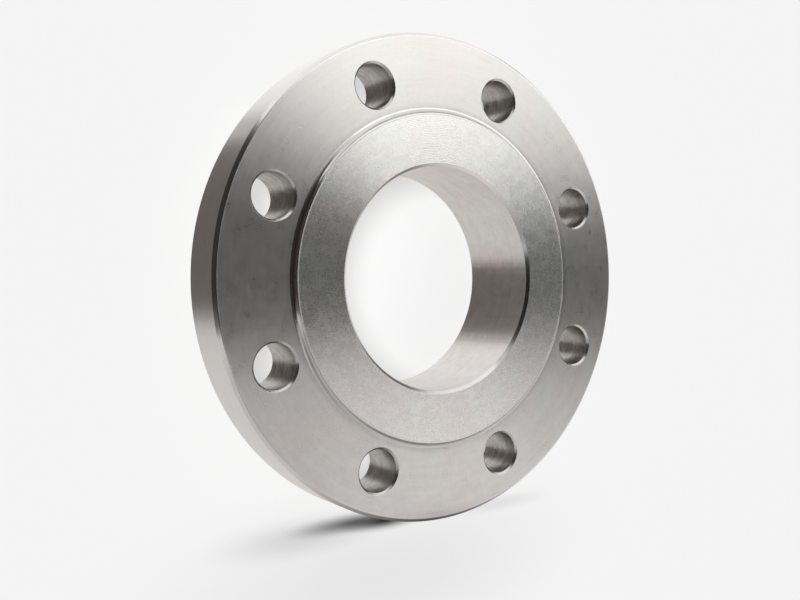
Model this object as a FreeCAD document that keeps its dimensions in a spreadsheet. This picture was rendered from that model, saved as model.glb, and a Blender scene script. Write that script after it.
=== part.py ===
# Turned steel pipe flange with a raised sealing face, eight bolt holes and a short hub.
# It lies on the end of its hub: +Z is the bore's axis and comes out of the raised face, and the
# origin is the middle of the hub's end. +Y runs midway between two bolt holes. Units are mm.
import FreeCAD, Part
import math
import os
import Sketcher

# Driving sizes. The diameters grow outwards from the bore, one ring after another.
SIZES = {
    "bore_diameter": 90.0,            # clears a pipe of 89 mm
    "face_width": 21.0,               # bore to the edge of the raised face: 132 mm across
    "bolt_ledge": 14.0,               # raised face to the bolt circle: 160 mm across
    "rim_width": 17.5,                # bolt circle to the rim: 195 mm across
    "plate_thickness": 21.0,          # back of the plate to the bolting face
    "raised_height": 1.6,             # raised face above the bolting face
    "step_radius": 1.3,               # hollow radius at the foot of the raised face
    "step_wall": 0.1,                 # least upright wall left between that radius and the edge
    "step_break": 0.2,                # broken edge of the raised face
    "hub_wall": 10.0,                 # hub around the bore: 110 mm across
    "hub_height": 16.4,               # hub's end to the back of the plate
    "hub_radius": 6.0,                # hollow radius where the hub meets the plate
    "hub_chamfer": 2.0,               # outer edge of the hub's end
    "rim_chamfer": 1.2,               # front edge of the rim
    "back_chamfer": 0.6,              # back edge of the rim
    "front_mouth": 1.2,               # chamfer of the bore in the raised face
    "rear_mouth": 1.0,                # chamfer of the bore in the hub's end
    "bolt_hole_diameter": 17.0,       # clears an M16 bolt
    "bolt_hole_chamfer": 0.8,         # both mouths of each bolt hole
    "bolt_count": 8,
}

doc = FreeCAD.newDocument("PipeFlange")
sheet = doc.addObject("Spreadsheet::Sheet", "Sizes")
for row, (alias, value) in enumerate(SIZES.items(), start=1):
    sheet.set(f"A{row}", alias)
    sheet.set(f"B{row}", str(value))
    sheet.setAlias(f"B{row}", alias)
doc.recompute()

# Radii and heights that the features share.
bore = sheet.bore_diameter / 2
hub = bore + sheet.hub_wall
raised = bore + sheet.face_width
bolts = raised + sheet.bolt_ledge
rim = bolts + sheet.rim_width
back = sheet.hub_height
face = back + sheet.plate_thickness
top = face + sheet.raised_height
foot = min(sheet.step_radius, sheet.raised_height - sheet.step_wall - sheet.step_break)

BOLT_CIRCLE = "Sizes.bore_diameter / 2 + Sizes.face_width + Sizes.bolt_ledge"
BOLTING_FACE = "Sizes.hub_height + Sizes.plate_thickness"
FOOT = "min(Sizes.step_radius; Sizes.raised_height - Sizes.step_wall - Sizes.step_break)"

# Ends of an edge and the sketch's own places, as constraints number them.
START, END, CENTRE = 1, 2, 3
X_AXIS = -1
ORIGIN = (-1, START)


def origin_feature(body, role):
    """Origin plane or axis of a body, by its role."""
    for feature in body.Origin.OriginFeatures:
        if feature.Role == role:
            return feature
    raise ValueError(f"the origin has no {role}")


def new_sketch(body, name, plane):
    """Sketch on one of the body's origin planes."""
    sketch = body.newObject("Sketcher::SketchObject", name)
    sketch.AttachmentSupport = (origin_feature(body, plane), "")
    sketch.MapMode = "FlatFace"
    return sketch


def constrain(sketch, kind, *places):
    return sketch.addConstraint(Sketcher.Constraint(kind, *places))


def dimension(sketch, name, formula, kind, *places):
    """Named dimension of a sketch, bound to a formula of the sheet's cells."""
    index = constrain(sketch, kind, *places)
    sketch.renameConstraint(index, name)
    sketch.setExpression(f"Constraints.{name}", formula)


def quarter_arc(centre_x, centre_y, radius, start):
    """Quarter of a circle in a sketch, anticlockwise from an angle in degrees."""
    circle = Part.Circle(FreeCAD.Vector(centre_x, centre_y, 0), FreeCAD.Vector(0, 0, 1), radius)
    return Part.ArcOfCircle(circle, math.radians(start), math.radians(start + 90))


def draw_half_section(body):
    """Half section of the turned form: radius across, height up, walked around from the hub's end."""
    sketch = new_sketch(body, "HalfSection", "XZ_Plane")
    root = sheet.hub_radius

    # Each corner names the edge that leaves it.
    corners = {
        "hub_end": (bore + sheet.rear_mouth, 0),
        "hub_chamfer": (hub - sheet.hub_chamfer, 0),
        "hub_side": (hub, sheet.hub_chamfer),
        "hub_root": (hub, back - root),
        "plate_back": (hub + root, back),
        "back_chamfer": (rim - sheet.back_chamfer, back),
        "rim_side": (rim, back + sheet.back_chamfer),
        "rim_chamfer": (rim, face - sheet.rim_chamfer),
        "bolting_face": (rim - sheet.rim_chamfer, face),
        "step_root": (raised + foot, face),
        "step_side": (raised, face + foot),
        "step_break": (raised, top - sheet.step_break),
        "raised_face": (raised - sheet.step_break, top),
        "front_mouth": (bore + sheet.front_mouth, top),
        "bore_wall": (bore, top - sheet.front_mouth),
        "rear_mouth": (bore, sheet.rear_mouth),
    }
    hollows = {
        "hub_root": quarter_arc(hub + root, back - root, root, 90),
        "step_root": quarter_arc(raised + foot, face + foot, foot, 180),
    }
    walk = list(corners)
    following = dict(zip(walk, walk[1:] + walk[:1]))

    edge = {}
    for name, (x, y) in corners.items():
        next_x, next_y = corners[following[name]]
        line = Part.LineSegment(FreeCAD.Vector(x, y, 0), FreeCAD.Vector(next_x, next_y, 0))
        edge[name] = sketch.addGeometry(hollows.get(name, line), False)

    # The hollow radii run against the walk, so they leave their corner with their end.
    corner = {name: (edge[name], END if name in hollows else START) for name in walk}
    corner["origin"] = ORIGIN
    corners["origin"] = (0, 0)
    for name in walk:
        arrival = (edge[name], START if name in hollows else END)
        smooth = name in hollows or following[name] in hollows
        constrain(sketch, "Tangent" if smooth else "Coincident", *arrival, *corner[following[name]])

    def span(name, direction, first, second, formula):
        """Dimension between two corners along X (0) or Y (1)."""
        length = corners[second][direction] - corners[first][direction]
        if length < 0:
            first, second, length = second, first, -length
        kind = ("DistanceX", "DistanceY")[direction]
        dimension(sketch, name, formula, kind, *corner[first], *corner[second], length)

    for name in ("hub_end", "plate_back", "bolting_face", "raised_face"):
        constrain(sketch, "Horizontal", edge[name])
    for name in ("hub_side", "rim_side", "step_side", "bore_wall"):
        constrain(sketch, "Vertical", edge[name])
    constrain(sketch, "PointOnObject", *corner["hub_end"], X_AXIS)

    span("bore", 0, "origin", "bore_wall", "Sizes.bore_diameter / 2")
    span("hub", 0, "bore_wall", "hub_side", "Sizes.hub_wall")
    span("sealing_face", 0, "bore_wall", "step_side", "Sizes.face_width")
    span("bolting_ring", 0, "step_side", "rim_side", "Sizes.bolt_ledge + Sizes.rim_width")
    span("hub_length", 1, "hub_end", "plate_back", "Sizes.hub_height")
    span("plate", 1, "plate_back", "bolting_face", "Sizes.plate_thickness")
    span("step", 1, "bolting_face", "raised_face", "Sizes.raised_height")
    for name in ("hub_chamfer", "back_chamfer", "rim_chamfer", "step_break", "front_mouth", "rear_mouth"):
        span(f"{name}_width", 0, name, following[name], f"Sizes.{name}")
        span(f"{name}_depth", 1, name, following[name], f"Sizes.{name}")
    dimension(sketch, "hub_root", "Sizes.hub_radius", "Radius", edge["hub_root"], root)
    dimension(sketch, "step_root", FOOT, "Radius", edge["step_root"], foot)
    return sketch


def draw_bolt_circle(body):
    """First bolt hole on the bolting face, half a pitch from +X, so that the holes straddle the axes."""
    sketch = new_sketch(body, "BoltPlace", "XY_Plane")
    sketch.setExpression("AttachmentOffset.Base.z", BOLTING_FACE)
    half_pitch = math.pi / sheet.bolt_count
    place = FreeCAD.Vector(bolts * math.cos(half_pitch), bolts * math.sin(half_pitch), 0)
    spoke = sketch.addGeometry(Part.LineSegment(FreeCAD.Vector(), place), True)
    radius = sheet.bolt_hole_diameter / 2
    hole = sketch.addGeometry(Part.Circle(place, FreeCAD.Vector(0, 0, 1), radius), False)
    constrain(sketch, "Coincident", spoke, START, *ORIGIN)
    constrain(sketch, "Coincident", spoke, END, hole, CENTRE)
    dimension(sketch, "bolt_circle", BOLT_CIRCLE, "Distance", spoke, bolts)
    dimension(sketch, "half_pitch", "180 / Sizes.bolt_count", "Angle", spoke, half_pitch)
    dimension(sketch, "hole", "Sizes.bolt_hole_diameter", "Diameter", hole, 2 * radius)
    return sketch


def bolt_hole_mouths(shape):
    """Names of the round edges where the bolt holes meet the bolting face and the plate's back."""
    names = []
    for index, edge in enumerate(shape.Edges, start=1):
        if not isinstance(edge.Curve, Part.Circle):
            continue
        centre = edge.Curve.Center
        off_axis = math.hypot(centre.x, centre.y) > raised
        at_face = min(abs(centre.z - face), abs(centre.z - back)) < 1e-4
        if off_axis and at_face:
            names.append(f"Edge{index}")
    return names


def build_flange():
    body = doc.addObject("PartDesign::Body", "Flange")
    body.Label = "flange"

    turned = body.newObject("PartDesign::Revolution", "TurnedForm")
    turned.Profile = draw_half_section(body)
    turned.ReferenceAxis = (origin_feature(body, "Z_Axis"), [""])
    turned.Angle = 360
    doc.recompute()

    drilled = body.newObject("PartDesign::Hole", "BoltHole")
    drilled.Profile = draw_bolt_circle(body)
    doc.recompute()
    drilled.DepthType = "ThroughAll"
    drilled.Threaded = False
    drilled.setExpression("Diameter", "Sizes.bolt_hole_diameter")
    doc.recompute()

    ring = body.newObject("PartDesign::PolarPattern", "BoltHoles")
    ring.Originals = [drilled]
    ring.Axis = (origin_feature(body, "Z_Axis"), [""])
    ring.Angle = 360
    ring.setExpression("Occurrences", "Sizes.bolt_count")
    body.Tip = ring
    doc.recompute()

    mouths = body.newObject("PartDesign::Chamfer", "BoltHoleMouths")
    mouths.Base = (ring, bolt_hole_mouths(ring.Shape))
    mouths.setExpression("Size", "Sizes.bolt_hole_chamfer")
    body.Tip = mouths
    doc.recompute()
    return body


flange = build_flange()

for item in doc.Objects:
    if "Invalid" in item.State or "Error" in item.State:
        raise RuntimeError(f"{item.Label} was not built: {item.State}")
if flange.Shape.isNull() or not flange.Shape.isValid():
    raise RuntimeError("the flange is not a valid solid")

os.makedirs("parts", exist_ok=True)
flange.Shape.exportStep(f"parts/{flange.Label}.step")
print(f"{flange.Label}: {len(flange.Shape.Solids)} solid, {flange.Shape.Volume / 1000:.1f} cm3")
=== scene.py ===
# Looks for the turned steel pipe flange: camera, pale studio, and the turned body with its tool marks.
import math

import bpy
from mathutils import Matrix, Vector, geometry


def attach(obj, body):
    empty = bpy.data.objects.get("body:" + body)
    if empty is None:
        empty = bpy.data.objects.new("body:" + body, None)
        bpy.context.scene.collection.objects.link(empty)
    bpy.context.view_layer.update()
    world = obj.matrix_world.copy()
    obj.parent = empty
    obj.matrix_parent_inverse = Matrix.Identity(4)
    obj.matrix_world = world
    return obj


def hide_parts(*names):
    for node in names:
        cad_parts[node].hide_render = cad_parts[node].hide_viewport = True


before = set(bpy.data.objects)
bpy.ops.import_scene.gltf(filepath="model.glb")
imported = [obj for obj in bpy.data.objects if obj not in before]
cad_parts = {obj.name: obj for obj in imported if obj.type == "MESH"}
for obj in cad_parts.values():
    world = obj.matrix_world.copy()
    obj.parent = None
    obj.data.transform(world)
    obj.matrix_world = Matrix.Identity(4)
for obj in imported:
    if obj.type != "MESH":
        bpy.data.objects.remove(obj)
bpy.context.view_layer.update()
mm = 0.001
scene = bpy.context.scene


# Camera
cameraSet = {
    "place": (-220.368, 2.950, 333.112),      # mm, from the fit to the photo's edges
    "ahead": (0.56046, -0.03077, -0.82761),
    "up": (0.02465, 0.99949, -0.02046),
    "lens": 41.233, "sensor": 36,
    "nearest": 0.01,                          # m
}


def makeCamera(values):
    data = bpy.data.cameras.new("camera")
    data.lens = values["lens"]
    data.sensor_width = values["sensor"]
    data.clip_start = values["nearest"]
    camera = bpy.data.objects.new("camera", data)
    scene.collection.objects.link(camera)
    back = -Vector(values["ahead"]).normalized()
    side = Vector(values["up"]).cross(back).normalized()
    up = back.cross(side)
    turn = Matrix((side, up, back)).transposed().to_4x4()
    camera.matrix_world = Matrix.Translation(Vector(values["place"]) * mm) @ turn
    scene.camera = camera


makeCamera(cameraSet)
print("camera placed")


# Node helpers. Inputs and outputs are lists of (name, socket type, default)
def newGroup(name, inputs, outputs):
    group = bpy.data.node_groups.new(name, "ShaderNodeTree")
    for direction, sockets in (("INPUT", inputs), ("OUTPUT", outputs)):
        for label, kind, value in sockets:
            socket = group.interface.new_socket(name=label, in_out=direction, socket_type=kind)
            if value is not None:
                socket.default_value = value
    return group, group.nodes.new("NodeGroupInput"), group.nodes.new("NodeGroupOutput")


# Short calls for nodes in one tree
class Wires:
    def __init__(self, tree):
        self.tree = tree

    def put(self, socket, value):
        if isinstance(value, bpy.types.NodeSocket):
            self.tree.links.new(value, socket)
        else:
            socket.default_value = value

    def math(self, operation, *values, clamp=False):
        node = self.tree.nodes.new("ShaderNodeMath")
        node.operation = operation
        node.use_clamp = clamp
        for socket, value in zip(node.inputs, values):
            self.put(socket, value)
        return node.outputs[0]

    def vector(self, operation, *values, scale=None):
        node = self.tree.nodes.new("ShaderNodeVectorMath")
        node.operation = operation
        for socket, value in zip(node.inputs, values):
            self.put(socket, value)
        if scale is not None:
            self.put(node.inputs["Scale"], scale)
        return node.outputs["Value" if operation in ("LENGTH", "DOT_PRODUCT") else "Vector"]

    def combine(self, x, y, z):
        node = self.tree.nodes.new("ShaderNodeCombineXYZ")
        for socket, value in zip(node.inputs, (x, y, z)):
            self.put(socket, value)
        return node.outputs[0]

    def split(self, vector):
        node = self.tree.nodes.new("ShaderNodeSeparateXYZ")
        self.put(node.inputs[0], vector)
        return node.outputs

    def mix(self, share, first, second):
        node = self.tree.nodes.new("ShaderNodeMix")
        node.data_type = "RGBA"
        self.put(node.inputs["Factor"], share)
        for label, value in (("A", first), ("B", second)):
            socket = next(s for s in node.inputs if s.name == label and s.type == "RGBA")
            self.put(socket, (*value, 1.0) if isinstance(value, tuple) else value)
        return next(s for s in node.outputs if s.type == "RGBA")

    def noise(self, vector, w=None, detail=2.0, roughness=0.5):
        node = self.tree.nodes.new("ShaderNodeTexNoise")
        node.noise_dimensions = "4D" if w is not None else "3D"
        self.put(node.inputs["Vector"], vector)
        if w is not None:
            self.put(node.inputs["W"], w)
        for label, value in (("Scale", 1.0), ("Detail", detail), ("Roughness", roughness)):
            self.put(node.inputs[label], value)
        return node.outputs["Fac"]

    # Place on the object in mm
    def place(self):
        node = self.tree.nodes.new("ShaderNodeTexCoord")
        return self.vector("SCALE", node.outputs["Object"], scale=1 / mm)

    def ramp(self, value, fromMin, fromMax, toMin, toMax):
        node = self.tree.nodes.new("ShaderNodeMapRange")
        node.interpolation_type = "SMOOTHSTEP"
        labels = ("Value", "From Min", "From Max", "To Min", "To Max")
        for label, given in zip(labels, (value, fromMin, fromMax, toMin, toMax)):
            self.put(node.inputs[label], given)
        return node.outputs[0]

    # Share of the light that soft dark patches leave; a patch with a depth below 0 adds light instead
    def shade(self, patches):
        left = 1.0
        for middle, reach, depth in patches:
            away = self.vector("DIVIDE", self.vector("SUBTRACT", self.place(), middle), reach)
            kept = self.ramp(self.vector("LENGTH", away), 0.0, 1.0, 1.0 - depth, 1.0)
            left = self.math("MULTIPLY", left, kept)
        return left


# Studio: pale floor, soft light, and the pale panels that only reflections see
studio = {
    "floorSize": 6.0,                   # m
    "floorColour": (0.92, 0.92, 0.92),
    "floorRoughness": 0.9,
    "floorGloss": 0.1,
    "evenFloor": 0.60,                  # share of the floor that the camera sees as evenly lit
    "daylight": 0.22,                   # world light
    "backdrop": 0.93,                   # what the camera sees beyond the floor
    "room": (0.195, 0.176, 0.163),      # dim room that metal reflects where no panel stands
    "sunStrength": 2.85,
    "sunFrom": (-0.67, 0.09, 1.0),      # from the camera's side, so the shadow falls behind the flange
    "sunAngle": 18,                     # degrees, for a soft shadow
    # Soft patches, each (middle, reach in mm, depth). The floor's are a painted contact shadow in front of
    # the rim, and a painted lighter patch that is seen through the bore
    "floorShade": [
        ((-2, -105.4, 0), (28, 5.5, 50), 0.97),
        ((-20, -103.9, 0), (38, 5.5, 50), 0.80),
        ((-44, -106, 0), (50, 11, 50), 0.22),
        ((60, -107.5, 0), (40, 5, 50), 0.14),
        ((-5, -130, 0), (150, 55, 50), 0.13),
        ((-35, 25, 0), (75, 75, 50), -0.085),
    ],
    # The panels' patches are painted shade on their glow: the table's contact shadow beside the rim and
    # darker places; a depth below 0 paints light
    "panelShade": {
        "tablePanel": [
            ((-5, -100, 33), (85, 40, 25), 0.88),
            ((-240, -100, 310), (110, 50, 110), 0.95),
            ((-115, -100, 155), (185, 50, 145), 0.64),
            ((950, -100, 200), (750, 50, 900), 0.75),
            ((60, -100, 105), (150, 50, 70), -0.14),
            ((-70, -100, 435), (150, 50, 130), 0.80),
        ],
        "keyPanel": [
            ((100, 900, 1500), (600, 1400, 50), 0.50),
            ((360, 690, 1500), (250, 330, 50), 0.90),
        ],
        "topPanel": [
            ((700, 500, -360), (330, 50, 260), 0.60),
            ((1050, 500, -660), (500, 50, 420), 0.50),
            ((-175, 500, 420), (120, 50, 90), 0.90),
            ((-80, 500, 352), (95, 50, 65), 0.85),
        ],
        "cameraSidePanel": [
            ((-250, 0, 300), (140, 900, 110), 0.65),
        ],
    },
    # Panels, each (corner, first edge, second edge in mm, colour)
    "panels": {
        "tablePanel": ((-330, -100, -900), (1900, 0, 0), (0, 0, 1480), (0.92, 0.905, 0.89)),
        "backPanel": ((-100, -100, -900), (1700, 0, 0), (0, 620, 0), (0.91, 0.91, 0.91)),
        "topPanel": ((-100, 500, -900), (1700, 0, 0), (-340, 0, 1460), (1.34, 1.335, 1.33)),
        "keyPanel": ((150, 375, 1500), (4500, 0, 0), (0, 1800, 0), (2.15, 2.17, 2.13)),
        "keySidePanel": ((690, 215, 1510), (700, 0, 0), (-900, 1085, 0), (1.0, 1.01, 0.99)),
        "topCornerPanel": ((-130, 502, -940), (250, 0, 0), (-175, 0, 260), (1.34, 1.335, 1.33)),
        "darkPanel": ((-700, -100, 50), (600, 0, 850), (0, 800, 0), (0.042, 0.038, 0.036)),
        "rightPanel": ((1600, -100, -1500), (0, 0, 1450), (0, 900, 0), (0.90, 0.90, 0.89)),
        "cameraSidePanel": ((-420, -100, 180), (340, 0, 255), (0, 500, 0), (0.050, 0.043, 0.039)),
        "frontDarkPanel": ((-110, -300, 1000), (410, 0, 0), (0, 650, 0), (0.030, 0.028, 0.026)),
        "frontPanel": ((-100, -300, 1900), (5000, 0, -400), (0, 700, 0), (0.129, 0.134, 0.134)),
    },
}


def emissionMaterial(name, colour, patches=()):
    material = bpy.data.materials.new(name)
    material.use_nodes = True
    tree = material.node_tree
    tree.nodes.clear()
    w = Wires(tree)
    glow = tree.nodes.new("ShaderNodeEmission")
    glow.inputs["Color"].default_value = (*colour, 1)
    # Painted shade on the panel's glow
    w.put(glow.inputs["Strength"], w.shade(patches))
    out = tree.nodes.new("ShaderNodeOutputMaterial")
    w.put(out.inputs["Surface"], glow.outputs[0])
    material.cycles.emission_sampling = "NONE"
    return material


def stagePlane(name, corner, first, second):
    corner, first, second = (Vector(v) * mm for v in (corner, first, second))
    mesh = bpy.data.meshes.new(name)
    mesh.from_pydata([corner, corner + first, corner + first + second, corner + second], [], [(0, 1, 2, 3)])
    plane = bpy.data.objects.new(name, mesh)
    scene.collection.objects.link(plane)
    return plane


def makeStudio(values):
    half = values["floorSize"] / 2 / mm
    floor = stagePlane("floor", (-half, -half, 0), (2 * half, 0, 0), (0, 2 * half, 0))
    paint = bpy.data.materials.new("paleFloor")
    paint.use_nodes = True
    shader = paint.node_tree.nodes["Principled BSDF"]
    shader.inputs["Roughness"].default_value = values["floorRoughness"]
    shader.inputs["Specular IOR Level"].default_value = values["floorGloss"]
    tree = paint.node_tree
    w = Wires(tree)
    # The floor's colour carries its painted shade: the contact shadow and the lighter patch seen through
    # the bore
    seen = w.vector("SCALE", values["floorColour"], scale=w.shade(values["floorShade"]))
    w.put(shader.inputs["Base Color"], seen)
    glow = tree.nodes.new("ShaderNodeEmission")
    w.put(glow.inputs["Color"], seen)
    path = tree.nodes.new("ShaderNodeLightPath")
    both = tree.nodes.new("ShaderNodeMixShader")
    w.put(both.inputs[0], w.math("MULTIPLY", path.outputs["Is Camera Ray"], values["evenFloor"]))
    w.put(both.inputs[1], shader.outputs[0])
    w.put(both.inputs[2], glow.outputs[0])
    w.put(tree.nodes["Material Output"].inputs["Surface"], both.outputs[0])
    paint.cycles.emission_sampling = "NONE"
    floor.data.materials.append(paint)
    floor.visible_glossy = False        # metal sees the panels instead

    for name, (corner, first, second, colour) in values["panels"].items():
        panel = stagePlane(name, corner, first, second)
        panel.data.materials.append(emissionMaterial(name, colour, values["panelShade"].get(name, ())))
        panel.visible_camera = False
        panel.visible_diffuse = False
        panel.visible_shadow = False
        panel.visible_transmission = False

    lamp = bpy.data.lights.new("softSun", "SUN")
    lamp.energy = values["sunStrength"]
    lamp.angle = math.radians(values["sunAngle"])
    sun = bpy.data.objects.new("softSun", lamp)
    sun.rotation_euler = Vector(values["sunFrom"]).to_track_quat("Z", "Y").to_euler()
    sun.visible_glossy = False
    scene.collection.objects.link(sun)

    world = bpy.data.worlds.new("studio")
    scene.world = world
    world.use_nodes = True
    world.cycles.sampling_method = "NONE"
    tree = world.node_tree
    background = tree.nodes["Background"]
    path = tree.nodes.new("ShaderNodeLightPath")
    w = Wires(tree)
    light = w.mix(path.outputs["Is Glossy Ray"], (values["daylight"],) * 3, values["room"])
    light = w.mix(path.outputs["Is Camera Ray"], light, (values["backdrop"],) * 3)
    tree.links.new(light, background.inputs["Color"])
    scene.view_settings.view_transform = "Standard"


makeStudio(studio)
print("studio ready")


# Shared shader groups
# Where a point lies across and around the lathe's marks, and the way the marks run
def makeLatheCoordinates():
    heightShare = 1.37                  # of the height, so that upright walls have marks too
    group, into, out = newGroup(
        "latheCoordinates",
        [("Place", "NodeSocketVector", None)],
        [("Radius", "NodeSocketFloat", None),
         ("Across", "NodeSocketFloat", None),
         ("Around", "NodeSocketVector", None),
         ("Along marks", "NodeSocketVector", None)])
    w = Wires(group)
    x, y, z = w.split(into.outputs["Place"])
    flat = w.combine(x, y, 0.0)
    radius = w.vector("LENGTH", flat)
    w.put(out.inputs["Radius"], radius)
    w.put(out.inputs["Across"], w.math("ADD", radius, w.math("MULTIPLY", z, heightShare)))
    w.put(out.inputs["Around"], w.vector("NORMALIZE", flat))
    w.put(out.inputs["Along marks"], w.combine(w.math("MULTIPLY", y, -1.0), x, 0.0))
    return group


# Marks of a cutting tool, drawn out along the cut, with slow changes around it, and the waves that its
# chatter leaves across them. Sizes and depths are in mm
def makeToolMarks():
    group, into, out = newGroup(
        "toolMarks",
        [("Across", "NodeSocketFloat", None),
         ("Around", "NodeSocketVector", None),
         ("Turns", "NodeSocketFloat", 3.0),
         ("Fine pitch", "NodeSocketFloat", 0.3),
         ("Fine depth", "NodeSocketFloat", 0.002),
         ("Coarse pitch", "NodeSocketFloat", 1.6),
         ("Coarse depth", "NodeSocketFloat", 0.004),
         ("Chatter turns", "NodeSocketFloat", 20.0),
         ("Chatter depth", "NodeSocketFloat", 0.0)],
        [("Height", "NodeSocketFloat", None),
         ("Tone", "NodeSocketFloat", None)])
    w = Wires(group)
    given = into.outputs
    around = w.vector("SCALE", given["Around"], scale=given["Turns"])
    fine = w.noise(around, w.math("DIVIDE", given["Across"], given["Fine pitch"]), detail=2.0)
    coarse = w.noise(around, w.math("DIVIDE", given["Across"], given["Coarse pitch"]), detail=3.0)
    fineHeight = w.math("MULTIPLY", fine, given["Fine depth"])
    coarseHeight = w.math("MULTIPLY", coarse, given["Coarse depth"])
    depth = w.math("ADD", fineHeight, coarseHeight)
    chatter = w.noise(w.vector("SCALE", given["Around"], scale=given["Chatter turns"]), detail=2.0)
    w.put(out.inputs["Height"], w.math("MULTIPLY_ADD", chatter, given["Chatter depth"], depth))
    w.put(out.inputs["Tone"], w.math("MULTIPLY", w.math("ADD", fine, coarse), 0.5))
    return group


# What handling leaves: a fine grain, blotches, slow stains, and short scratches in a few directions
handling = {
    "stainSize": 26.0,                  # mm
    "scratchAngles": (14, 77, 128),     # degrees
    "scratchStretch": (0.08, 1.0, 0.3),
    "scratchFrom": 0.70, "scratchTo": 0.82,       # noise between which a scratch deepens
}


def makeWear(values):
    group, into, out = newGroup(
        "handlingWear",
        [("Place", "NodeSocketVector", None),
         ("Grain size", "NodeSocketFloat", 0.9),
         ("Grain depth", "NodeSocketFloat", 0.01),
         ("Blotch size", "NodeSocketFloat", 4.0),
         ("Scratch width", "NodeSocketFloat", 0.5)],
        [("Height", "NodeSocketFloat", None),
         ("Blotches", "NodeSocketFloat", None),
         ("Stains", "NodeSocketFloat", None),
         ("Scratches", "NodeSocketFloat", None)])
    w = Wires(group)
    given = into.outputs

    def sized(size):
        return w.vector("SCALE", given["Place"], scale=w.math("DIVIDE", 1.0, size))

    grain = w.noise(sized(given["Grain size"]), detail=2.0, roughness=0.6)
    w.put(out.inputs["Height"], w.math("MULTIPLY", grain, given["Grain depth"]))
    w.put(out.inputs["Blotches"], w.noise(sized(given["Blotch size"]), detail=4.0, roughness=0.65))
    w.put(out.inputs["Stains"], w.noise(sized(values["stainSize"]), detail=2.0))
    scratches = 0.0
    for number, angle in enumerate(values["scratchAngles"]):
        turn = w.tree.nodes.new("ShaderNodeVectorRotate")
        turn.rotation_type = "Z_AXIS"
        w.put(turn.inputs["Vector"], sized(given["Scratch width"]))
        w.put(turn.inputs["Angle"], math.radians(angle))
        drawn = w.vector("MULTIPLY", turn.outputs[0], values["scratchStretch"])
        apart = (31.0 * number, 7.0, 0.0)         # so that no direction repeats another
        strokes = w.noise(w.vector("ADD", drawn, apart), detail=1.0)
        deep = w.ramp(strokes, values["scratchFrom"], values["scratchTo"], 0.0, 1.0)
        scratches = w.math("MAXIMUM", scratches, deep)
    w.put(out.inputs["Scratches"], scratches)
    return group


latheCoordinates = makeLatheCoordinates()
toolMarks = makeToolMarks()
handlingWear = makeWear(handling)
print("shader groups ready")


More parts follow.
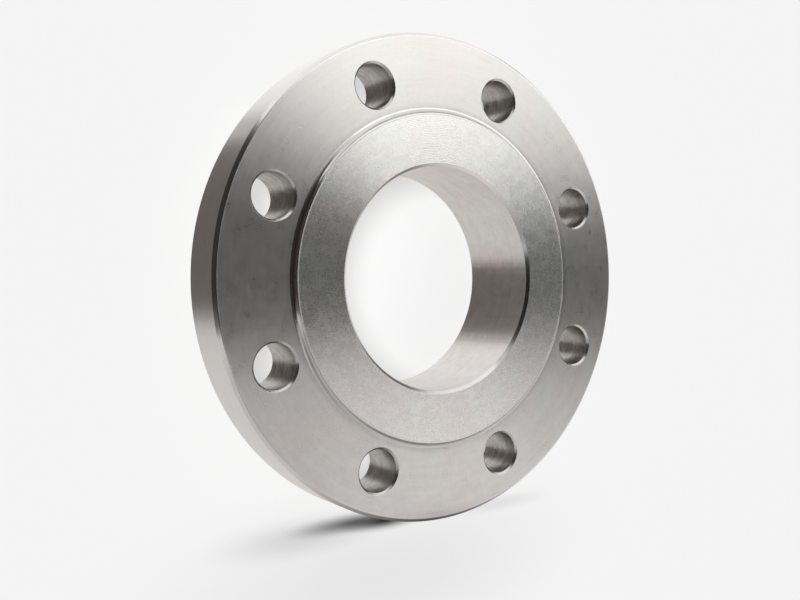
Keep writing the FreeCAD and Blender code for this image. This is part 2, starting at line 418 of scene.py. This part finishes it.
# Finishes of the turned surfaces. Sizes and depths are in mm
# turns: how often the marks change around the axis; fine, coarse: pitch and depth of the tool's marks
# chatter: how often its waves come around the axis, and their depth
# grain: size and depth; blotch: size
# tone, rough: how far marks and blotches change the colour and the roughness
# scratch: roughness that a scratch adds
# painted shade: where it is darkest, where it ends (radii on a face, heights in a bolt hole), and its
# darkest tone
finishes = {
    "sealingFace": dict(
        colour=(0.740, 0.733, 0.710), stained=(0.750, 0.714, 0.700),
        roughness=0.27, anisotropy=0.77, turns=3.0,
        fine=(0.30, 0.0012), coarse=(1.4, 0.003), grain=(0.8, 0.008), blotch=4.0,
        tone=0.23, rough=0.13, scratch=0.05),
    "boltingFace": dict(
        colour=(0.622, 0.611, 0.594), stained=(0.638, 0.600, 0.586),
        roughness=0.30, anisotropy=0.77, turns=4.0,
        fine=(0.32, 0.0016), coarse=(2.2, 0.004), grain=(0.9, 0.010), blotch=5.0,
        # its last entry is painted shade, darker toward the foot of the raised face
        tone=0.30, rough=0.18, scratch=0.07, paintedShade=(68.1, 70.5, 0.86)),
    # The hollow at the foot of the raised face: its darker colour is painted shade in the corner
    "cornerFinish": dict(
        colour=(0.53, 0.515, 0.50), stained=(0.49, 0.475, 0.46),
        roughness=0.15, anisotropy=0.50, turns=3.0,
        fine=(0.25, 0.001), coarse=(0.8, 0.002), grain=(0.9, 0.006), blotch=4.0,
        tone=0.10, rough=0.10, scratch=0.05),
    "rimFinish": dict(
        colour=(0.64, 0.627, 0.61), stained=(0.64, 0.61, 0.60),
        roughness=0.33, anisotropy=0.75, turns=3.0,
        fine=(0.30, 0.0015), coarse=(1.8, 0.005), grain=(1.0, 0.008), blotch=7.0,
        chatter=(40.0, 0.020), tone=0.20, rough=0.10, scratch=0.07),
    "boreFinish": dict(
        colour=(0.622, 0.606, 0.583), stained=(0.622, 0.580, 0.563),
        roughness=0.33, anisotropy=0.75, turns=3.0,
        fine=(0.30, 0.0025), coarse=(2.4, 0.012), grain=(1.0, 0.009), blotch=4.5,
        chatter=(24.0, 0.030), tone=0.45, rough=0.18, scratch=0.10),
    "edgeFinish": dict(
        colour=(0.62, 0.605, 0.59), stained=(0.60, 0.58, 0.57),
        roughness=0.19, anisotropy=0.50, turns=4.0,
        fine=(0.15, 0.0005), coarse=(0.5, 0.001), grain=(0.6, 0.004), blotch=4.0,
        tone=0.06, rough=0.08, scratch=0.05),
    "rubbedFinish": dict(
        colour=(0.74, 0.73, 0.71), stained=(0.71, 0.70, 0.68),
        roughness=0.38, anisotropy=0.40, turns=4.0,
        fine=(0.20, 0.0010), coarse=(0.9, 0.002), grain=(0.7, 0.010), blotch=3.0,
        tone=0.10, rough=0.16, scratch=0.05),
    "mouthFinish": dict(
        colour=(0.54, 0.525, 0.51), stained=(0.52, 0.50, 0.49),
        roughness=0.27, anisotropy=0.30, turns=4.0,
        fine=(0.20, 0.0015), coarse=(0.6, 0.003), grain=(0.6, 0.008), blotch=3.0,
        tone=0.20, rough=0.20, scratch=0.05),
    "rearFinish": dict(
        colour=(0.60, 0.58, 0.56), stained=(0.57, 0.54, 0.52),
        roughness=0.48, anisotropy=0.80, turns=3.0,
        fine=(0.35, 0.002), coarse=(2.0, 0.006), grain=(1.0, 0.010), blotch=6.0,
        tone=0.12, rough=0.10, scratch=0.05),
    "drilledFinish": dict(
        # its colour is darker than the faces': partly the drilled steel's own tone, partly painted shade in
        # the holes
        colour=(0.48, 0.455, 0.43), stained=(0.42, 0.40, 0.375),
        roughness=0.40, anisotropy=0.50, turns=0.10,
        fine=(0.45, 0.040), coarse=(1.5, 0.110), grain=(1.2, 0.060), blotch=3.0,
        # its last entry is painted shade, darker toward the hole's front mouth
        tone=1.6, rough=0.30, scratch=0.05, paintedShade=(36.4, 28.0, 0.62)),
}
stainFrom, stainTo = 0.40, 0.62         # noise between which a stain appears
quarterTurn = 0.25                      # so that the shader's tangent runs along the marks


def makeFinish(name, values):
    material = bpy.data.materials.new(name)
    material.use_nodes = True
    tree = material.node_tree
    w = Wires(tree)
    shader = tree.nodes["Principled BSDF"]
    shader.inputs["Metallic"].default_value = 1.0
    shader.inputs["Anisotropic"].default_value = values["anisotropy"]
    shader.inputs["Anisotropic Rotation"].default_value = quarterTurn
    place = w.place()
    turned, marks, wear = (tree.nodes.new("ShaderNodeGroup") for _ in range(3))
    turned.node_tree, marks.node_tree, wear.node_tree = latheCoordinates, toolMarks, handlingWear
    w.put(turned.inputs["Place"], place)
    w.put(wear.inputs["Place"], place)
    if name == "drilledFinish":
        normal = tree.nodes.new("ShaderNodeNewGeometry").outputs["Normal"]
        x, y, z = w.split(place)
        w.put(marks.inputs["Across"], z)
        w.put(marks.inputs["Around"], w.combine(x, y, 0.0))
        along = w.vector("CROSS_PRODUCT", normal, (0.0, 0.0, 1.0))
        shadePlace = z
    else:
        w.put(marks.inputs["Across"], turned.outputs["Across"])
        w.put(marks.inputs["Around"], turned.outputs["Around"])
        along = turned.outputs["Along marks"]
        shadePlace = turned.outputs["Radius"]
    w.put(shader.inputs["Tangent"], along)
    w.put(marks.inputs["Turns"], values["turns"])
    w.put(wear.inputs["Blotch size"], values["blotch"])
    chatter = values.get("chatter", (20.0, 0.0))
    for node, labels, given in (
            (marks, ("Fine pitch", "Fine depth"), values["fine"]),
            (marks, ("Coarse pitch", "Coarse depth"), values["coarse"]),
            (marks, ("Chatter turns", "Chatter depth"), chatter),
            (wear, ("Grain size", "Grain depth"), values["grain"])):
        for label, value in zip(labels, given):
            w.put(node.inputs[label], value)

    # The marks' tone and the blotches both lie around a half
    change = w.math("SUBTRACT", w.math("ADD", marks.outputs["Tone"], wear.outputs["Blotches"]), 1.0)
    tone = w.math("ADD", w.math("MULTIPLY", change, values["tone"]), 1.0)
    # Painted shade: darker toward the place where the finish gives it
    if "paintedShade" in values:
        near, far, dark = values["paintedShade"]
        tone = w.math("MULTIPLY", tone, w.ramp(shadePlace, near, far, dark, 1.0))
    stained = w.ramp(wear.outputs["Stains"], stainFrom, stainTo, 0.0, 1.0)
    colour = w.mix(stained, values["colour"], values["stained"])
    w.put(shader.inputs["Base Color"], w.vector("SCALE", colour, scale=tone))
    rough = w.math("MULTIPLY", w.math("SUBTRACT", wear.outputs["Blotches"], 0.5), values["rough"])
    scratched = w.math("MULTIPLY", wear.outputs["Scratches"], values["scratch"])
    w.put(shader.inputs["Roughness"], w.math("ADD", w.math("ADD", rough, values["roughness"]), scratched))
    bump = tree.nodes.new("ShaderNodeBump")
    bump.inputs["Strength"].default_value = 1.0
    bump.inputs["Distance"].default_value = mm
    w.put(bump.inputs["Height"], w.math("ADD", marks.outputs["Height"], wear.outputs["Height"]))
    w.put(shader.inputs["Normal"], bump.outputs["Normal"])
    return material


# The turned body
flange = {
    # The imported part's own sizes in mm
    "bore": 45.0, "hub": 55.0, "raised": 66.0, "bolts": 80.0, "rim": 97.5,
    "back": 16.4, "face": 37.4, "top": 39.0,
    "hubChamfer": 2.0, "hubRoot": 6.0, "backChamfer": 0.6, "rimChamfer": 1.2,
    "stepBreak": 0.2, "frontMouth": 1.2, "rearMouth": 1.0,
    "boltHole": 8.5, "boltChamfer": 0.8, "boltCount": 8,
    # What use and the tool add to them
    "stepRoot": 2.3,                    # hollow beside the raised face, a little wider than the part's own
    "softEdge": 0.09,                   # radius left on every edge
    "worn": 0.62,                       # radius on the rim's front edge, which handling wears
    "wornStep": 0.30,                   # the same on the raised face's edge
    "rubbedRim": 0.40,                  # width beside the rim's front edge that is rubbed lighter
    "rubbedStep": 0.60,                 # the same beside the raised face's edge
    "groovePitch": 0.66,                # scallops of the raised face
    "grooveTilt": 3.0,                  # degrees at their ridges
    # Divisions: around the body and a bolt hole, and in a hollow, a soft edge and a worn edge
    "around": 320, "aroundHole": 72,
    "hollowSteps": 10, "softSteps": 2, "wornSteps": 5,
}
straight = 0.01                         # radians: lines that turn less than this run on smoothly
samePlace = 1e-4                        # mm


# One step of a half section that is walked with the metal on its left
def step(start, end, surface, startNormal=None, endNormal=None):
    across, up = end[0] - start[0], end[1] - start[1]
    size = math.hypot(across, up)
    normal = (up / size, -across / size)
    return {"start": tuple(start), "end": tuple(end), "surface": surface,
            "startNormal": startNormal or normal, "endNormal": endNormal or normal}


def hollowArc(centre, radius, first, last, count, surface):
    points = []
    for k in range(count + 1):
        t = math.radians(first + (last - first) * k / count)
        place = (centre[0] + radius * math.cos(t), centre[1] + radius * math.sin(t))
        points.append((place, (-math.cos(t), -math.sin(t))))
    return [step(a[0], b[0], surface, a[1], b[1]) for a, b in zip(points, points[1:])]


# Heading of a line, and its turn into the next one
def turnAt(lineA, lineB):
    a, b = (math.atan2(line[1][1] - line[0][1], line[1][0] - line[0][0]) for line in (lineA, lineB))
    return a, (b - a + math.pi) % (2 * math.pi) - math.pi


def bends(lineA, lineB):
    if isinstance(lineA[2], list) or isinstance(lineB[2], list):
        return False
    return abs(turnAt(lineA, lineB)[1]) > straight


def setBack(lineA, lineB, radius):
    return radius * math.tan(abs(turnAt(lineA, lineB)[1]) / 2)


def softCorner(lineA, lineB, radius, count):
    heading, turn = turnAt(lineA, lineB)
    side = 1 if turn > 0 else -1
    ahead = Vector((math.cos(heading), math.sin(heading)))
    entry = Vector(lineA[1]) - ahead * setBack(lineA, lineB, radius)
    centre = entry + Vector((-math.sin(heading), math.cos(heading))) * radius * side
    points = []
    for k in range(count + 1):
        t = heading + turn * k / count
        out = Vector((math.sin(t), -math.cos(t)))
        points.append((tuple(centre + out * radius * side), tuple(out)))
    return [step(a[0], b[0], "edgeFinish", a[1], b[1]) for a, b in zip(points, points[1:])]


# Closed half section through corners (x, y, surface of the line that leaves, own radius if it is worn) with
# small arcs on its corners. A corner may carry ready steps instead, which stay as they are
def softened(corners, s):
    count, radius = len(corners), s["softEdge"]
    lines = [(corners[k][:2], corners[(k + 1) % count][:2], corners[k][2]) for k in range(count)]
    radii = [corner[3] if len(corner) > 3 else radius for corner in corners]
    steps = []
    for k, line in enumerate(lines):
        if isinstance(line[2], list):
            steps.extend(line[2])
            continue
        before, after = lines[k - 1], lines[(k + 1) % count]
        first, last = Vector(line[0]), Vector(line[1])
        along = (last - first).normalized()
        if bends(before, line):
            first += along * setBack(before, line, radii[k])
        soft = radii[(k + 1) % count]
        if bends(line, after):
            last -= along * setBack(line, after, soft)
        steps.append(step(first, last, line[2]))
        if bends(line, after):
            steps.extend(softCorner(line, after, soft, s["wornSteps"] if soft > radius else s["softSteps"]))
    for a, b in zip(steps, steps[1:] + steps[:1]):
        b["start"] = a["end"]           # one shared ring where two steps meet
    return steps


# Scallops that the tool leaves on a flat face, walked from its outer edge to its inner one
def groovedFace(plain, pitch, tilt):
    (outer, height), inner = plain["start"], plain["end"][0]
    count = round((outer - inner) / pitch)
    width = (outer - inner) / count
    lean = math.radians(tilt)
    depth = width / 4 * math.tan(lean)
    falling, rising = (-math.sin(lean), math.cos(lean)), (math.sin(lean), math.cos(lean))
    steps = []
    for k in range(count):
        x = outer - width * k
        ridge, valley, nextRidge = (x, height), (x - width / 2, height - depth), (x - width, height)
        steps.append(step(ridge, valley, plain["surface"], falling, (0.0, 1.0)))
        steps.append(step(valley, nextRidge, plain["surface"], (0.0, 1.0), rising))
    steps[-1]["end"] = plain["end"]
    return steps


# The body's half section, walked around from the hub's end
def flangeSection(s):
    bore, hub, raised, rim = s["bore"], s["hub"], s["raised"], s["rim"]
    back, face, top = s["back"], s["face"], s["top"]
    hubRoot, hollow, count = s["hubRoot"], s["stepRoot"], s["hollowSteps"]
    root = hollowArc((hub + hubRoot, back - hubRoot), hubRoot, 180, 90, count, "rearFinish")
    lean = math.acos(1 - (top - s["stepBreak"] - face) / hollow)      # where the hollow reaches the edge
    footStart = raised + hollow * math.sin(lean)
    footEnd = 270 - math.degrees(lean)
    # The hollow at the raised face's foot takes the finish with painted shade
    foot = hollowArc((footStart, face + hollow), hollow, 270, footEnd, count, "cornerFinish")
    steps = softened([
        (bore + s["rearMouth"], 0, "rearFinish"),
        (hub - s["hubChamfer"], 0, "rearFinish"),
        (hub, s["hubChamfer"], "rearFinish"),
        (hub, back - s["hubRoot"], root),
        (hub + s["hubRoot"], back, "plateBack"),
        (rim - s["backChamfer"], back, "edgeFinish"),
        (rim, back + s["backChamfer"], "rimFinish"),
        (rim, face - s["rimChamfer"], "edgeFinish"),
        (rim - s["rimChamfer"], face, "rubbedFinish", s["worn"]),
        (rim - s["rimChamfer"] - s["rubbedRim"], face, "boltingFace"),
        (footStart, face, foot),
        (raised, top - s["stepBreak"], "edgeFinish"),
        (raised - s["stepBreak"], top, "rubbedFinish", s["wornStep"]),
        (raised - s["stepBreak"] - s["rubbedStep"], top, "sealingFace"),
        (bore + s["frontMouth"], top, "edgeFinish"),
        (bore, top - s["frontMouth"], "boreFinish"),
        (bore, s["rearMouth"], "edgeFinish"),
    ], s)
    number = next(k for k, part in enumerate(steps) if part["surface"] == "sealingFace")
    steps[number:number + 1] = groovedFace(steps[number], s["groovePitch"], s["grooveTilt"])
    return steps


# A bolt hole's wall and its two mouths, across from the hole's own axis. Their corners are softened in a
# closed section of the metal around the hole, of which only the hole's side is kept
def holeSection(s):
    hole, cut = s["boltHole"], s["boltChamfer"]
    metal = s["rim"] - s["bolts"]
    steps = softened([
        (hole + cut, s["back"], "metal"),
        (metal, s["back"], "metal"),
        (metal, s["face"], "metal"),
        (hole + cut, s["face"], "mouthFinish"),
        (hole, s["face"] - cut, "drilledFinish"),
        (hole, s["back"] + cut, "mouthFinish"),
    ], s)
    beside = (metal + hole + cut) / 2
    inner = [part for part in steps if part["surface"] != "metal" and part["start"][0] < beside]
    first = next(k for k, part in enumerate(inner) if abs(part["start"][1] - s["face"]) < samePlace)
    return inner[first:] + inner[:first]


# Gathers rings, faces, normals, surfaces and map places before the mesh is made
class MeshParts:
    def __init__(self):
        self.points, self.faces, self.normals, self.surfaces, self.map = [], [], [], [], []

    def ring(self, centre, radius, height, count):
        first = len(self.points)
        for k in range(count):
            t = 2 * math.pi * k / count
            self.points.append((centre[0] + radius * math.cos(t), centre[1] + radius * math.sin(t), height))
        return list(range(first, first + count))

    # Turns steps about a vertical line; mapPlace(step, end, share around) gives the places on the map
    def turn(self, steps, centre, count, mapPlace, closed):
        rings = [self.ring(centre, *part["start"], count) for part in steps]
        rings.append(rings[0] if closed else self.ring(centre, *steps[-1]["end"], count))
        for number, part in enumerate(steps):
            if part["surface"] in ("boltingFace", "plateBack") and closed:
                continue                # these hold the bolt holes, and are filled later
            near, far = rings[number], rings[number + 1]
            for k in range(count):
                after = (k + 1) % count
                a, b = 2 * math.pi * k / count, 2 * math.pi * (k + 1) / count
                self.faces.append((near[k], near[after], far[after], far[k]))
                self.surfaces.append(part["surface"])
                for (across, up), t, end in ((part["startNormal"], a, 0), (part["startNormal"], b, 0),
                                             (part["endNormal"], b, 1), (part["endNormal"], a, 1)):
                    self.normals.append((across * math.cos(t), across * math.sin(t), up))
                    self.map.append(mapPlace(number, end, t / (2 * math.pi)))
        return rings

    # Flat surface between the first ring and the others, which it leaves open
    def fill(self, rings, up, surface, mapPlace):
        owner, flat = {}, []
        for number, ring in enumerate(rings):
            for index in ring:
                owner[len(flat)] = (number, index)
                flat.append(Vector(self.points[index][:2]))
        edges, first = [], 0
        for ring in rings:
            edges.extend((first + k, first + (k + 1) % len(ring)) for k in range(len(ring)))
            first += len(ring)
        allTriangles, tooNear = 0, 1e-7           # the mode, and the mm within which points merge
        filled = geometry.delaunay_2d_cdt(flat, edges, [], allTriangles, tooNear)
        triangles, origins = filled[2], filled[3]
        for triangle in triangles:
            places = [owner[origins[v][0]] for v in triangle]
            if places[0][0] > 0 and len({number for number, _ in places}) == 1:
                continue                # inside a bolt hole or the middle
            places = places if up > 0 else places[::-1]
            self.faces.append(tuple(index for _, index in places))
            self.surfaces.append(surface)
            for _, index in places:
                self.normals.append((0.0, 0.0, up))
                self.map.append(mapPlace(self.points[index]))


# Map for the export: the front unrolled around one centre, the rear around another, and the bore and the
# bolt holes as strips below them
exportMap = {
    "front": ((0.299, 0.699), 0.00248),           # centre, and map units for 1 mm of radius
    "rear": ((0.799, 0.780), 0.00178),
    "boreStrip": (0.01, 0.135, 0.98, 0.125),      # left, top, width, height
    "holeStrip": (0.01, 0.245, 0.235, 0.09),
    "holePitch": (0.245, 0.1), "holesInRow": 4,
}


# Places on that map. A ring's distance from its island's centre is its way along the section from the bore
class MapPlaces:
    def __init__(self, section, bore, values):
        names = [part["surface"] for part in section]
        rimStart = names.index("rimFinish")
        self.values, self.bore, self.reach = values, names.index("boreFinish"), {}
        frontWalk = range(self.bore - 1, rimStart - 1, -1)
        rearWalk = [*range(self.bore + 1, len(section)), *range(rimStart)]
        for island, walk in (("front", frontWalk), ("rear", rearWalk)):
            after = bore
            for k in walk:
                before = after
                after = before + math.dist(section[k]["start"], section[k]["end"])
                self.reach[k] = (island, after, before) if island == "front" else (island, before, after)

    def onIsland(self, island, radius, angle):
        (x, y), scale = self.values[island]
        return x + radius * scale * math.cos(angle), y + radius * scale * math.sin(angle)

    def turned(self, number, end, share):
        if number == self.bore:
            left, top, width, height = self.values["boreStrip"]
            return left + width * share, top - height * end
        island, first, last = self.reach[number]
        return self.onIsland(island, last if end else first, 2 * math.pi * share)

    def hole(self, index, down, share):
        left, top, width, height = self.values["holeStrip"]
        columnPitch, rowPitch = self.values["holePitch"]
        column, row = index % self.values["holesInRow"], index // self.values["holesInRow"]
        return left + columnPitch * column + width * share, top + rowPitch * row - height * down

    def flat(self, number, start, point):
        island, first, last = self.reach[number]
        along = abs(math.hypot(point[0], point[1]) - start)
        radius = first + (along if last > first else -along)
        return self.onIsland(island, radius, math.atan2(point[1], point[0]))


def gatherFlange(s):
    section, hole = flangeSection(s), holeSection(s)
    parts, places = MeshParts(), MapPlaces(section, s["bore"], exportMap)
    rings = parts.turn(section, (0, 0), s["around"], places.turned, True)

    depth = [0.0]
    for part in hole:
        depth.append(depth[-1] + math.dist(part["start"], part["end"]))
    mouths = {"boltingFace": [], "plateBack": []}
    for index in range(s["boltCount"]):
        angle = 2 * math.pi * (index + 0.5) / s["boltCount"]
        centre = s["bolts"] * math.cos(angle), s["bolts"] * math.sin(angle)

        def holePlace(number, end, share):
            return places.hole(index, depth[number + end] / depth[-1], share)

        holeRings = parts.turn(hole, centre, s["aroundHole"], holePlace, False)
        mouths["boltingFace"].append(holeRings[0])
        mouths["plateBack"].append(holeRings[-1])

    names = [part["surface"] for part in section]
    for surface, up in (("boltingFace", 1.0), ("plateBack", -1.0)):
        number = names.index(surface)
        start = section[number]["start"][0]

        def flatPlace(point):
            return places.flat(number, start, point)

        edges = [rings[number], rings[number + 1]]
        if up < 0:
            edges.reverse()             # the outer ring comes first
        parts.fill([*edges, *mouths[surface]], up, surface, flatPlace)
    return parts


def makeFlange(s):
    parts = gatherFlange(s)
    mesh = bpy.data.meshes.new("turnedFlange")
    mesh.from_pydata([Vector(p) * mm for p in parts.points], [], parts.faces)
    slots = {name: number for number, name in enumerate(finishes)}
    for name, values in finishes.items():
        mesh.materials.append(makeFinish(name, values))
    slots["plateBack"] = slots["rearFinish"]
    mesh.polygons.foreach_set("material_index", [slots[surface] for surface in parts.surfaces])
    mesh.polygons.foreach_set("use_smooth", [True] * len(parts.faces))
    layer = mesh.uv_layers.new(name="OFBake")
    layer.data.foreach_set("uv", [value for place in parts.map for value in place])
    mesh.update()
    mesh.normals_split_custom_set(parts.normals)
    piece = bpy.data.objects.new("turned_flange", mesh)
    scene.collection.objects.link(piece)
    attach(piece, "root")
    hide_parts("flange")
    print("flange turned:", len(mesh.vertices), "points,", len(mesh.polygons), "faces")


makeFlange(flange)
